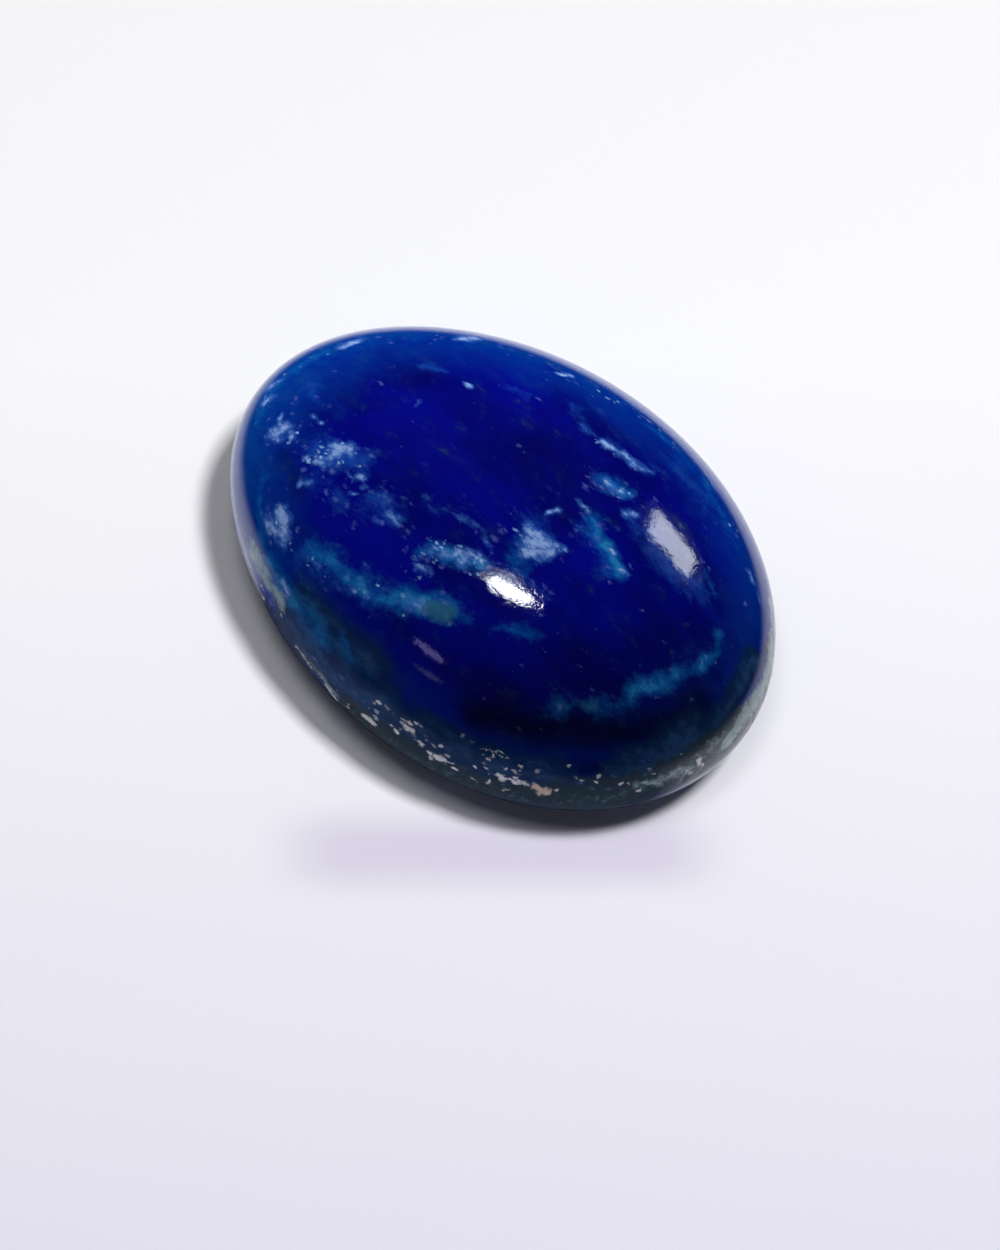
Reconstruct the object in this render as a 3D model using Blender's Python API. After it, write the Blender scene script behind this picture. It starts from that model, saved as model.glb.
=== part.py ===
# Oval cabochon of lapis lazuli, cut and polished from one piece of rock.
# Metres, +Z up. The long axis of the oval runs along X. The stone lies on the small flat
# spot in the middle of its rounded back, and the centre of that spot is the origin.

import math

import bmesh
import bpy
from mathutils import Vector

# Driving dimensions of the stone
STONE_LENGTH = 0.0180
STONE_WIDTH = 0.01285
GIRDLE_HEIGHT = 0.00276  # from the resting face to the girdle, the widest line of the stone
DOME_HEIGHT = 0.00404  # from the girdle to the top of the dome
FLAT_SPOT_SHARE = 0.35  # size of the flat spot, as a share of the stone's plan

# Form of the section: 2 is a true ellipse, and more is fuller at the shoulder
DOME_FULLNESS = 2.2
BACK_FULLNESS = 2.1

# Form of the plan, an oval ground by hand
PLAN_FULLNESS = 2.02
BROADER_END = 0.03  # how much wider the +X half is than the -X half
THREE_SIDED = 0.009  # share of the radius that swells three times on the way round
THREE_SIDED_AT = math.radians(-45.0)
FOUR_SIDED = 0.004  # share of the radius that swells four times on the way round
FOUR_SIDED_AT = math.radians(8.0)

# Small chips out of the girdle: angle round the stone, height over the resting face,
# width across and depth
CHIPS = (
    (math.radians(-112.0), 0.0031, 0.0011, 0.00012),
    (math.radians(-98.0), 0.0027, 0.0014, 0.00016),
    (math.radians(-84.0), 0.0029, 0.0010, 0.00011),
    (math.radians(-62.0), 0.0027, 0.0015, 0.00018),
    (math.radians(-51.0), 0.0030, 0.0011, 0.00013),
    (math.radians(-24.0), 0.0028, 0.0012, 0.00010),
)

# Fineness of the faceted solid
POINTS_AROUND = 96
RINGS_ON_DOME = 17
RINGS_ON_BACK = 10

# Polished lapis: deep ultramarine with a clear gloss
STONE_COLOUR = (0.004, 0.012, 0.165, 1.0)
STONE_ROUGHNESS = 0.16
STONE_METALLIC = 0.0


def signed_power(value, exponent):
    return math.copysign(abs(value) ** exponent, value)


def plan_point(angle):
    """Point of the hand-cut oval at an angle, before it is fitted to its size."""
    across = signed_power(math.cos(angle), 2.0 / PLAN_FULLNESS)
    along = signed_power(math.sin(angle), 2.0 / PLAN_FULLNESS)
    swell = 1.0 + THREE_SIDED * math.cos(3.0 * (angle - THREE_SIDED_AT))
    swell += FOUR_SIDED * math.cos(4.0 * (angle - FOUR_SIDED_AT))
    x = STONE_LENGTH / 2.0 * across * swell
    y = STONE_WIDTH / 2.0 * along * swell * (1.0 + BROADER_END * math.cos(angle))
    return x, y


def plan_outline():
    """The oval as a ring of points, centred and fitted to the stone's length and width."""
    points = [plan_point(math.tau * i / POINTS_AROUND) for i in range(POINTS_AROUND)]
    xs = [x for x, y in points]
    ys = [y for x, y in points]
    middle_x = (max(xs) + min(xs)) / 2.0
    middle_y = (max(ys) + min(ys)) / 2.0
    fit_x = STONE_LENGTH / (max(xs) - min(xs))
    fit_y = STONE_WIDTH / (max(ys) - min(ys))
    return [((x - middle_x) * fit_x, (y - middle_y) * fit_y) for x, y in points]


def section_rings():
    """Share of the plan and height of each ring, from under the top down to the flat spot."""
    rings = []
    for i in range(1, RINGS_ON_DOME + 1):
        turn = math.pi / 2.0 * (1.0 - i / RINGS_ON_DOME)
        share = math.cos(turn) ** (2.0 / DOME_FULLNESS)
        height = GIRDLE_HEIGHT + DOME_HEIGHT * math.sin(turn) ** (2.0 / DOME_FULLNESS)
        rings.append((share, height))
    for i in range(1, RINGS_ON_BACK + 1):
        turn = math.pi / 2.0 * i / RINGS_ON_BACK
        reach = max(math.cos(turn), 0.0) ** (2.0 / BACK_FULLNESS)
        share = FLAT_SPOT_SHARE + (1.0 - FLAT_SPOT_SHARE) * reach
        height = GIRDLE_HEIGHT * (1.0 - math.sin(turn) ** (2.0 / BACK_FULLNESS))
        rings.append((share, height))
    return rings


def chip_away(point, outline_x, outline_y, angle):
    """Move a point near the girdle inwards where a chip has come off the stone."""
    radius = math.hypot(outline_x, outline_y)
    inwards = Vector((-outline_x, -outline_y, 0.0)) / radius
    for chip_angle, chip_height, across, depth in CHIPS:
        turned = math.remainder(angle - chip_angle, math.tau)
        away = math.hypot(turned * radius, point.z - chip_height) / (across / 2.0)
        if away < 1.0:
            point += inwards * depth * (1.0 - away * away)
    return point


def build_stone():
    """One closed solid: rings from the top of the dome down to the flat spot."""
    outline = plan_outline()
    mesh = bmesh.new()
    top = mesh.verts.new((0.0, 0.0, GIRDLE_HEIGHT + DOME_HEIGHT))
    rings = []
    for share, height in section_rings():
        ring = []
        for i, (x, y) in enumerate(outline):
            point = Vector((x * share, y * share, height))
            point = chip_away(point, x, y, math.tau * i / POINTS_AROUND)
            ring.append(mesh.verts.new(point))
        rings.append(ring)
    for i in range(POINTS_AROUND):
        following = (i + 1) % POINTS_AROUND
        mesh.faces.new((top, rings[0][i], rings[0][following]))
        for upper, lower in zip(rings, rings[1:]):
            mesh.faces.new((upper[i], lower[i], lower[following], upper[following]))
    mesh.faces.new(reversed(rings[-1]))
    data = bpy.data.meshes.new("lapis_cabochon")
    mesh.to_mesh(data)
    mesh.free()
    data.shade_smooth()
    stone = bpy.data.objects.new("lapis_cabochon", data)
    bpy.context.scene.collection.objects.link(stone)
    return stone


def polished_lapis():
    """Material of the stone."""
    material = bpy.data.materials.new("polished_lapis")
    material.use_nodes = True
    shader = material.node_tree.nodes["Principled BSDF"]
    shader.inputs["Base Color"].default_value = STONE_COLOUR
    shader.inputs["Roughness"].default_value = STONE_ROUGHNESS
    shader.inputs["Metallic"].default_value = STONE_METALLIC
    return material


for old_object in list(bpy.data.objects):
    bpy.data.objects.remove(old_object, do_unlink=True)

build_stone().data.materials.append(polished_lapis())
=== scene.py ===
import math
import random

import bpy
from mathutils import Matrix, Vector, noise
from mathutils.kdtree import KDTree


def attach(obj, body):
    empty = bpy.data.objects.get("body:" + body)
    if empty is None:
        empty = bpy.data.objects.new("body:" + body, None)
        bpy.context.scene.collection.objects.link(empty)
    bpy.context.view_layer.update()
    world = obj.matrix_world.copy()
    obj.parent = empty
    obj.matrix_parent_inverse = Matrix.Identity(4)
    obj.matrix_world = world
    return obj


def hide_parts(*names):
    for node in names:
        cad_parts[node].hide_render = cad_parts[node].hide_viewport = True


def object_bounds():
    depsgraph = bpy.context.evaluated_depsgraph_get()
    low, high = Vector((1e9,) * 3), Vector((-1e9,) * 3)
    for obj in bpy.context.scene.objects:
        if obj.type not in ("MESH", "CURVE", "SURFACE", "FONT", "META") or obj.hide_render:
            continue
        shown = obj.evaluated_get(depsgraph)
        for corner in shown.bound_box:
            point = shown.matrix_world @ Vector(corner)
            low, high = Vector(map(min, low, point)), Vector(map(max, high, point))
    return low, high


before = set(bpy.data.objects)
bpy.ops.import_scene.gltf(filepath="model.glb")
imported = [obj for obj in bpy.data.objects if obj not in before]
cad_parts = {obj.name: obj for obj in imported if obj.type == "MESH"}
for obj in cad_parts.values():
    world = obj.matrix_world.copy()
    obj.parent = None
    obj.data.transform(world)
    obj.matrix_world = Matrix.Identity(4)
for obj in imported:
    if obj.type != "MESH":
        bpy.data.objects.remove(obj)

mm = 0.001  # sizes are in millimetres times this, because the scene is in metres
cadLow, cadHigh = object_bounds()
cadSize = cadHigh - cadLow
print("frame loaded, stone in mm:", [round(side / mm, 2) for side in cadSize])


def toLinear(hexColour):
    # sRGB hex, such as "#1a2b3c", to the linear colour that the shaders take
    parts = [int(hexColour[i:i + 2], 16) / 255 for i in (1, 3, 5)]
    linear = [p / 12.92 if p <= 0.04045 else ((p + 0.055) / 1.055) ** 2.4 for p in parts]
    return (*linear, 1.0)


def addNode(tree, kind, *inputs, **settings):
    # a node with its settings, then its inputs in the order it shows them: values, sockets or nodes
    node = tree.nodes.new(kind)
    for name, value in settings.items():
        setattr(node, name, value)
    shown = [socket for socket in node.inputs if socket.enabled]
    for socket, value in zip(shown, inputs):
        if isinstance(value, bpy.types.Node):
            value = next(output for output in value.outputs if output.enabled)
        if isinstance(value, bpy.types.NodeSocket):
            tree.links.new(value, socket)
        elif value is not None:
            socket.default_value = value
    return node


def addObject(name, data):
    thing = bpy.data.objects.new(name, data)
    bpy.context.scene.collection.objects.link(thing)
    return thing


# Camera: the photograph's viewing angle
camera = dict(
    azimuth=math.radians(44.85),  # round the stone, from -Y towards +X
    elevation=math.radians(57.0),
    distance=150 * mm,
    pixelsPerMm=35.06,  # at the middle of the stone
    stoneAtPixel=(498.9, 549.1),
    framePixels=(1000, 1250),
    sensor=36.0,
    clip=(10 * mm, 10),
)


def direction(azimuth, elevation):
    # unit vector from the stone towards a place at that azimuth and elevation
    flat = math.cos(elevation)
    return Vector((math.sin(azimuth) * flat, -math.cos(azimuth) * flat, math.sin(elevation)))


def addCamera():
    perMetre = camera["pixelsPerMm"] / mm
    data = bpy.data.cameras.new("photoCamera")
    data.sensor_width = camera["sensor"]
    data.lens = camera["sensor"] * perMetre * camera["distance"] / camera["framePixels"][1]
    data.clip_start, data.clip_end = camera["clip"]
    back = direction(camera["azimuth"], camera["elevation"])
    right = direction(camera["azimuth"] + math.pi / 2, 0)
    middle = Vector((0, 0, cadSize.z / 2))
    offset = [size / 2 - at for size, at in zip(camera["framePixels"], camera["stoneAtPixel"])]
    aim = middle + right * offset[0] / perMetre - back.cross(right) * offset[1] / perMetre
    view = addObject("photoCamera", data)
    view.location = middle + back * camera["distance"]
    view.rotation_mode = "QUATERNION"
    view.rotation_quaternion = (aim - view.location).to_track_quat("-Z", "Y")
    bpy.context.scene.camera = view
    return view


photoCamera = addCamera()


# The stone: an oval ground by hand, with a dome above the girdle and a rounded back under it
cabochon = dict(
    length=cadSize.x,
    width=cadSize.y,
    height=cadSize.z,
    girdleHeight=2.76 * mm,
    flatSpotShare=0.35,  # size of the flat spot that it rests on, as a share of the oval
    domeFullness=2.2,  # 2 is a true ellipse
    backFullness=2.1,
    planFullness=2.02,
    broaderEnd=0.03,
    threeSided=0.009,
    threeSidedAt=math.radians(-45),
    fourSided=0.004,
    fourSidedAt=math.radians(8),
    waveWidth=2.6 * mm,  # the faint waves that grinding by hand leaves
    waveDepth=0.0035 * mm,
    waveOctaves=1,
    waveFine=0.5,
    pitWidth=0.32 * mm,  # the small pits that grinding tears out along the girdle
    pitDepth=0.035 * mm,
    pitOctaves=2,
    pitFine=0.6,
    pitStarts=0.58,  # of the pits' noise, from 0 to 1, and where they are deepest
    pitFull=0.74,
    pitBand=0.9 * mm,  # how far above and below the girdle they reach
    chipFullness=1.5,  # 1 is a plain dish, and more runs out flatter at its edge
    facesPerSide=127,  # along each edge of the cube that the stone is formed from
)
# Small chips out of the girdle: angle round the stone, height over the resting face, and size
chips = dict(
    westEnd=dict(angle=math.radians(-112), height=3.1 * mm, across=1.1 * mm, depth=0.06 * mm),
    west=dict(angle=math.radians(-98), height=2.7 * mm, across=1.4 * mm, depth=0.07 * mm),
    middle=dict(angle=math.radians(-84), height=2.9 * mm, across=1.0 * mm, depth=0.05 * mm),
    east=dict(angle=math.radians(-62), height=2.7 * mm, across=1.5 * mm, depth=0.05 * mm),
    farEast=dict(angle=math.radians(-51), height=3.0 * mm, across=1.1 * mm, depth=0.06 * mm),
    eastEnd=dict(angle=math.radians(-24), height=2.8 * mm, across=1.2 * mm, depth=0.05 * mm),
)
chipSizes = {f"{chip} {size}": value for chip, sizes in chips.items() for size, value in sizes.items()}
formSizes = cabochon | chipSizes


def cabochonTree(material):
    tree = bpy.data.node_groups.new("cabochonForm", "GeometryNodeTree")
    tree.is_modifier = True
    for name, value in formSizes.items():
        kind = "NodeSocketInt" if isinstance(value, int) else "NodeSocketFloat"
        tree.interface.new_socket(name=name, in_out="INPUT", socket_type=kind)
    tree.interface.new_socket(name="stone", in_out="OUTPUT", socket_type="NodeSocketGeometry")
    given = tree.nodes.new("NodeGroupInput").outputs

    # a cube's points, spread evenly over a ball
    points = addNode(tree, "ShaderNodeMath", given["facesPerSide"], 1, operation="ADD")
    cube = addNode(tree, "GeometryNodeMeshCube", (2, 2, 2), points, points, points)
    place = addNode(tree, "GeometryNodeInputPosition")
    angles = addNode(tree, "ShaderNodeVectorMath", place, (math.pi / 4,) * 3, operation="MULTIPLY")
    even = addNode(tree, "ShaderNodeVectorMath", angles, operation="TANGENT")
    onBall = addNode(tree, "ShaderNodeVectorMath", even, operation="NORMALIZE")
    ball = addNode(tree, "ShaderNodeSeparateXYZ", onBall).outputs

    # how far out a point lies, as a share of the oval
    square = addNode(tree, "ShaderNodeMath", ball["Z"], 2, operation="POWER")
    rest = addNode(tree, "ShaderNodeMath", 1, square, operation="SUBTRACT")
    rest = addNode(tree, "ShaderNodeMath", rest, 0, operation="MAXIMUM")
    share = addNode(tree, "ShaderNodeMath", rest, operation="SQRT")

    # its height on the dome, and its height on the back with the flat spot in the middle
    span = addNode(tree, "ShaderNodeMath", given["height"], given["girdleHeight"], operation="SUBTRACT")
    past = addNode(tree, "ShaderNodeMapRange", share, given["flatSpotShare"], 1, 0, 1)
    drop = addNode(tree, "ShaderNodeMath", given["girdleHeight"], -1, operation="MULTIPLY")
    heights = []
    for reach, fullness, size in ((share, "domeFullness", span), (past, "backFullness", drop)):
        gone = addNode(tree, "ShaderNodeMath", reach, given[fullness], operation="POWER")
        left = addNode(tree, "ShaderNodeMath", 1, gone, operation="SUBTRACT")
        left = addNode(tree, "ShaderNodeMath", left, 0, operation="MAXIMUM")
        root = addNode(tree, "ShaderNodeMath", 1, given[fullness], operation="DIVIDE")
        rise = addNode(tree, "ShaderNodeMath", left, root, operation="POWER")
        rise = addNode(tree, "ShaderNodeMath", rise, size, given["girdleHeight"], operation="MULTIPLY_ADD")
        heights.append(rise)
    upper = addNode(tree, "ShaderNodeMath", ball["Z"], 0, operation="GREATER_THAN")
    height = addNode(tree, "ShaderNodeMix", upper, heights[1], heights[0])

    # the oval, with its slightly uneven outline
    around = addNode(tree, "ShaderNodeMath", ball["Y"], ball["X"], operation="ARCTAN2")
    swell = share
    for sides, amount, start in ((3, "threeSided", "threeSidedAt"), (4, "fourSided", "fourSidedAt")):
        turned = addNode(tree, "ShaderNodeMath", around, given[start], operation="SUBTRACT")
        turned = addNode(tree, "ShaderNodeMath", turned, sides, operation="MULTIPLY")
        wave = addNode(tree, "ShaderNodeMath", turned, operation="COSINE")
        wave = addNode(tree, "ShaderNodeMath", wave, given[amount], 1, operation="MULTIPLY_ADD")
        swell = addNode(tree, "ShaderNodeMath", swell, wave, operation="MULTIPLY")
    reach = []
    for turn in ("COSINE", "SINE"):
        wave = addNode(tree, "ShaderNodeMath", around, operation=turn)
        full = addNode(tree, "ShaderNodeMath", wave, operation="ABSOLUTE")
        root = addNode(tree, "ShaderNodeMath", 2, given["planFullness"], operation="DIVIDE")
        full = addNode(tree, "ShaderNodeMath", full, root, operation="POWER")
        side = addNode(tree, "ShaderNodeMath", wave, operation="SIGN")
        full = addNode(tree, "ShaderNodeMath", full, side, operation="MULTIPLY")
        reach.append(addNode(tree, "ShaderNodeMath", full, swell, operation="MULTIPLY"))
    end = addNode(tree, "ShaderNodeMath", around, operation="COSINE")
    end = addNode(tree, "ShaderNodeMath", end, given["broaderEnd"], 1, operation="MULTIPLY_ADD")
    across = addNode(tree, "ShaderNodeMath", reach[1], end, operation="MULTIPLY")
    x = addNode(tree, "ShaderNodeMath", reach[0], given["length"], operation="MULTIPLY")
    y = addNode(tree, "ShaderNodeMath", across, given["width"], operation="MULTIPLY")
    formed = addNode(tree, "ShaderNodeCombineXYZ", x, y, height)
    shaped = addNode(tree, "GeometryNodeSetPosition", cube, None, formed)

    # centred on the origin, and fitted to the stone's length and width
    box = addNode(tree, "GeometryNodeBoundBox", shaped).outputs
    full = addNode(tree, "ShaderNodeVectorMath", box["Max"], box["Min"], operation="SUBTRACT")
    twice = addNode(tree, "ShaderNodeVectorMath", box["Max"], box["Min"], operation="ADD")
    middle = addNode(tree, "ShaderNodeVectorMath", twice, (0.5, 0.5, 0), operation="MULTIPLY")
    size = addNode(tree, "ShaderNodeCombineXYZ", given["length"], given["width"], given["height"])
    fit = addNode(tree, "ShaderNodeVectorMath", size, full, operation="DIVIDE")
    centred = addNode(tree, "ShaderNodeVectorMath", place, middle, operation="SUBTRACT")
    fitted = addNode(tree, "ShaderNodeVectorMath", centred, fit, operation="MULTIPLY")
    fitting = addNode(tree, "GeometryNodeSetPosition", shaped, None, fitted)

    # chips out of the girdle, each a shallow dish that ends at half its width from its middle
    at = addNode(tree, "ShaderNodeSeparateXYZ", place).outputs
    onLength = addNode(tree, "ShaderNodeMath", at["X"], given["length"], operation="DIVIDE")
    onWidth = addNode(tree, "ShaderNodeMath", at["Y"], given["width"], operation="DIVIDE")
    angle = addNode(tree, "ShaderNodeMath", onWidth, onLength, operation="ARCTAN2")
    flat = addNode(tree, "ShaderNodeVectorMath", place, (1, 1, 0), operation="MULTIPLY")
    radius = addNode(tree, "ShaderNodeVectorMath", flat, operation="LENGTH")
    bite = 0
    for chip in chips:
        turned = addNode(tree, "ShaderNodeMath", angle, given[f"{chip} angle"], operation="SUBTRACT")
        sideways = addNode(tree, "ShaderNodeMath", turned, radius, operation="MULTIPLY")
        upwards = addNode(tree, "ShaderNodeMath", at["Z"], given[f"{chip} height"], operation="SUBTRACT")
        away = addNode(tree, "ShaderNodeCombineXYZ", sideways, upwards)
        away = addNode(tree, "ShaderNodeVectorMath", away, operation="LENGTH")
        away = addNode(tree, "ShaderNodeMath", away, given[f"{chip} across"], operation="DIVIDE")
        square = addNode(tree, "ShaderNodeMath", away, away, operation="MULTIPLY")
        dish = addNode(tree, "ShaderNodeMath", square, -4, 1, operation="MULTIPLY_ADD")
        dish = addNode(tree, "ShaderNodeMath", dish, 0, operation="MAXIMUM")
        dish = addNode(tree, "ShaderNodeMath", dish, given["chipFullness"], operation="POWER")
        bite = addNode(tree, "ShaderNodeMath", dish, given[f"{chip} depth"], bite, operation="MULTIPLY_ADD")
    outward = addNode(tree, "ShaderNodeVectorMath", flat, operation="NORMALIZE")
    bitten = addNode(tree, "ShaderNodeMath", bite, -1, operation="MULTIPLY")
    cut = addNode(tree, "ShaderNodeVectorMath", outward, bitten, operation="SCALE")
    chipped = addNode(tree, "GeometryNodeSetPosition", fitting, None, None, cut)

    # hand-ground waves and the girdle's pits, which only cut in and leave the flat spot flat
    scale = addNode(tree, "ShaderNodeMath", 1, given["waveWidth"], operation="DIVIDE")
    waves = addNode(tree, "ShaderNodeTexNoise", None, scale, given["waveOctaves"], given["waveFine"])
    offFlat = addNode(tree, "ShaderNodeMapRange", at["Z"], 0, given["girdleHeight"], 0, given["waveDepth"])
    depth = addNode(tree, "ShaderNodeMath", waves, offFlat, operation="MULTIPLY")
    scale = addNode(tree, "ShaderNodeMath", 1, given["pitWidth"], operation="DIVIDE")
    pits = addNode(tree, "ShaderNodeTexNoise", None, scale, given["pitOctaves"], given["pitFine"])
    pits = addNode(tree, "ShaderNodeMapRange", pits, given["pitStarts"], given["pitFull"], 0,
                   given["pitDepth"], interpolation_type="SMOOTHSTEP")
    offGirdle = addNode(tree, "ShaderNodeMath", at["Z"], given["girdleHeight"], operation="SUBTRACT")
    offGirdle = addNode(tree, "ShaderNodeMath", offGirdle, operation="ABSOLUTE")
    band = addNode(tree, "ShaderNodeMapRange", offGirdle, given["pitBand"], 0, 0, 1)
    depth = addNode(tree, "ShaderNodeMath", pits, band, depth, operation="MULTIPLY_ADD")
    inward = addNode(tree, "ShaderNodeMath", depth, -1, operation="MULTIPLY")
    normal = addNode(tree, "GeometryNodeInputNormal")
    cut = addNode(tree, "ShaderNodeVectorMath", normal, inward, operation="SCALE")
    ground = addNode(tree, "GeometryNodeSetPosition", chipped, None, None, cut)

    smooth = addNode(tree, "GeometryNodeSetShadeSmooth", ground)
    real = addNode(tree, "GeometryNodeRealizeInstances", smooth)
    finished = addNode(tree, "GeometryNodeSetMaterial", real, None, material)
    addNode(tree, "NodeGroupOutput", finished)
    return tree


def makeStone(material):
    carrier = addObject("cabochonCarrier", bpy.data.meshes.new("cabochonCarrier"))
    modifier = carrier.modifiers.new("cabochonForm", "NODES")
    modifier.node_group = cabochonTree(material)
    for item in modifier.node_group.interface.items_tree:
        if item.in_out == "INPUT":
            modifier[item.identifier] = formSizes[item.name]
    evaluated = carrier.evaluated_get(bpy.context.evaluated_depsgraph_get())
    mesh = bpy.data.meshes.new_from_object(evaluated)
    bpy.data.objects.remove(carrier)
    mesh.name = "polishedStone"
    return addObject("polishedStone", mesh)


lapis = bpy.data.materials.new("polishedLapis")
lapis.use_nodes = True
polishedStone = makeStone(lapis)
print("stone formed,", len(polishedStone.data.polygons) * 2, "triangles")


def photoRay(pixel):
    # where the eye is, and its line of sight through a pixel of the photograph
    width, height = camera["framePixels"]
    focal = photoCamera.data.lens / camera["sensor"] * height
    away = Vector((pixel[0] - width / 2, height / 2 - pixel[1], -focal))
    return photoCamera.location, (photoCamera.rotation_quaternion @ away).normalized()


def onStone(pixel):
    # the point of the stone seen at a pixel, and the way its surface faces there
    eye, sight = photoRay(pixel)
    found, point, normal, face = polishedStone.ray_cast(eye, sight)
    if not found:
        raise ValueError(f"the stone isn't at pixel {pixel}")
    return point, normal


# Markings seen on the near side: where each runs, by pixels of the photograph, how far it
# reaches to each side, in mm, and how solid it is, from 0 to 1
# Calcite: pale solid veins and patches
calciteMarks = dict(
    westStar=([(273, 433), (285, 430)], 0.47, 1.0),
    westStarTop=([(281, 424), (283, 419)], 0.22, 0.9),
    westStarRight=([(288, 432), (293, 437)], 0.24, 0.9),
    westPatchLeft=([(269, 524), (276, 533), (285, 537)], 0.48, 0.85),
    westPatchRight=([(280, 511), (285, 522), (287, 532)], 0.38, 1.0),
    clusterTop=([(330, 456), (336, 449), (350, 450)], 0.36, 0.95),
    clusterMiddle=([(338, 458), (344, 452)], 0.24, 0.75),
    clusterWest=([(315, 461), (321, 461)], 0.24, 1.0),
    clusterWestSpeck=([(306, 456)], 0.16, 0.9),
    clusterBelow=([(322, 464), (334, 467)], 0.18, 0.9),
    clusterEast=([(349, 469), (353, 473)], 0.17, 0.85),
    clusterEastTail=([(356, 476), (364, 475)], 0.18, 0.75),
    southWestSpeck=([(301, 481), (308, 480)], 0.20, 1.0),
    southSpeck=([(347, 493), (353, 496)], 0.17, 0.8),
    southEastSpeck=([(363, 485)], 0.18, 0.85),
    trailUpper=([(380, 484), (386, 496), (386, 506)], 0.24, 0.42),
    trailLower=([(389, 512), (394, 518), (399, 525)], 0.24, 0.7),
    trailSpeck=([(376, 516), (381, 524)], 0.20, 0.6),
    northWestSpeck=([(313, 416), (320, 422)], 0.17, 0.8),
    topSpeck=([(466, 384), (471, 386)], 0.14, 1.0),
    topWestSpeck=([(415, 406), (420, 403)], 0.18, 0.6),
    northRimBlob=([(345, 344), (359, 340)], 0.42, 0.95),
    westRimBlob=([(265, 401), (270, 397)], 0.34, 1.0),
    westRimUpper=([(269, 388), (277, 381)], 0.28, 0.8),
    topRimBlob=([(463, 338), (476, 339)], 0.42, 0.85),
    topRimSpeck=([(499, 345)], 0.24, 0.75),
    eastRimBlob=([(559, 375), (570, 376)], 0.24, 0.95),
    eastRimStreak=([(628, 401), (638, 409)], 0.22, 0.65),
    farEastBlob=([(692, 457), (695, 461)], 0.24, 0.6),
    farEastStreak=([(701, 468), (706, 475), (717, 488)], 0.20, 0.7),
    eastStreakUpper=([(584, 422), (596, 438)], 0.20, 0.36),
    eastStreakMiddle=([(601, 443), (611, 450), (619, 454)], 0.22, 0.85),
    eastStreakLower=([(623, 454), (630, 460), (635, 465)], 0.28, 1.0),
    eastStreakTail=([(640, 467), (652, 472)], 0.20, 0.55),
    eastPatchWest=([(604, 482), (609, 486)], 0.24, 0.8),
    eastPatchEast=([(614, 489), (624, 492)], 0.24, 0.8),
    eastBlob=([(629, 513), (636, 513)], 0.26, 0.75),
    midSpeck=([(547, 513), (553, 511), (559, 507)], 0.16, 1.0),
    midHalo=([(551, 486), (559, 489)], 0.20, 0.5),
    centreTop=([(529, 530), (536, 536)], 0.34, 0.9),
    centreMiddle=([(529, 542), (545, 545)], 0.46, 1.0),
    centreLow=([(525, 552), (540, 553), (553, 554)], 0.36, 1.0),
    centreEast=([(552, 547), (565, 551)], 0.28, 1.0),
    veinWest=([(424, 496), (437, 504), (452, 512)], 0.22, 0.38),
    veinMiddle=([(455, 514), (468, 521), (478, 528)], 0.22, 0.48),
    veinEast=([(482, 531), (488, 541), (494, 547)], 0.20, 0.55),
    eastVein=([(575, 496), (583, 505), (590, 513)], 0.15, 0.6),
    eastVeinTail=([(606, 520), (618, 527)], 0.15, 0.5),
    speckleWest=([(429, 553), (438, 550), (446, 557)], 0.32, 0.7),
    speckleMiddle=([(452, 555), (459, 553)], 0.30, 0.8),
    speckleEast=([(461, 562), (470, 554), (479, 558)], 0.34, 0.8),
    speckleLow=([(417, 567), (424, 571), (433, 572)], 0.20, 0.7),
    rimWhiteStreak=([(283, 583), (288, 596)], 0.32, 1.0),
    tealBright=([(407, 605), (422, 603)], 0.38, 0.8),
    tealWestSpeck=([(312, 560), (318, 566)], 0.20, 0.6),
    tealMidSpeck=([(352, 588), (355, 591)], 0.18, 0.9),
    tealMidEast=([(368, 589), (370, 595)], 0.15, 0.85),
    tealEastSpeck=([(612, 549), (614, 552)], 0.15, 0.9),
    tealEastTip=([(620, 570), (628, 577)], 0.14, 0.8),
    rightRimUpper=([(748, 572), (752, 582)], 0.20, 0.8),
    rightRimLower=([(757, 590), (760, 602)], 0.18, 0.6),
)
# Cream flecks, one by one, along the lower edge
grainMarks = dict(
    rimChipWest=([(303, 655), (311, 668)], 0.30, 0.85),
    rimChipMid=([(327, 686), (335, 697)], 0.28, 1.0),
    rimSpeck=([(372, 700), (377, 707)], 0.18, 0.85),
    rimCream=([(366, 718), (373, 724)], 0.34, 1.0),
    rimRowFirst=([(405, 727), (413, 735)], 0.28, 1.0),
    rimRowSecond=([(413, 722), (420, 727)], 0.16, 0.75),
    rimRowThird=([(418, 745), (422, 747)], 0.17, 0.9),
    rimRowFourth=([(430, 757), (443, 759)], 0.28, 1.0),
    rimRowFifth=([(446, 761), (453, 764)], 0.16, 0.75),
    rimRowSixth=([(472, 778), (477, 781)], 0.15, 0.8),
    rimPairWest=([(484, 756), (487, 752)], 0.15, 0.85),
    rimPairEast=([(490, 763), (496, 754)], 0.15, 0.85),
    rimRingWest=([(490, 773), (489, 784)], 0.16, 0.9),
    rimRingTop=([(499, 775), (508, 777)], 0.22, 1.0),
    rimRingEast=([(512, 779), (526, 785)], 0.24, 1.0),
    rimRingLow=([(498, 789), (507, 787)], 0.16, 0.85),
    rimAbove=([(516, 765), (520, 768)], 0.15, 0.7),
    rimEastFirst=([(574, 776), (579, 778)], 0.17, 0.85),
    rimEastSecond=([(577, 786), (586, 783)], 0.15, 0.7),
    rimEastThird=([(625, 777), (629, 785)], 0.16, 0.65),
    rimEastFourth=([(683, 768), (687, 771)], 0.17, 0.75),
    rimEastFifth=([(700, 758), (701, 768)], 0.25, 0.95),
)
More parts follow.
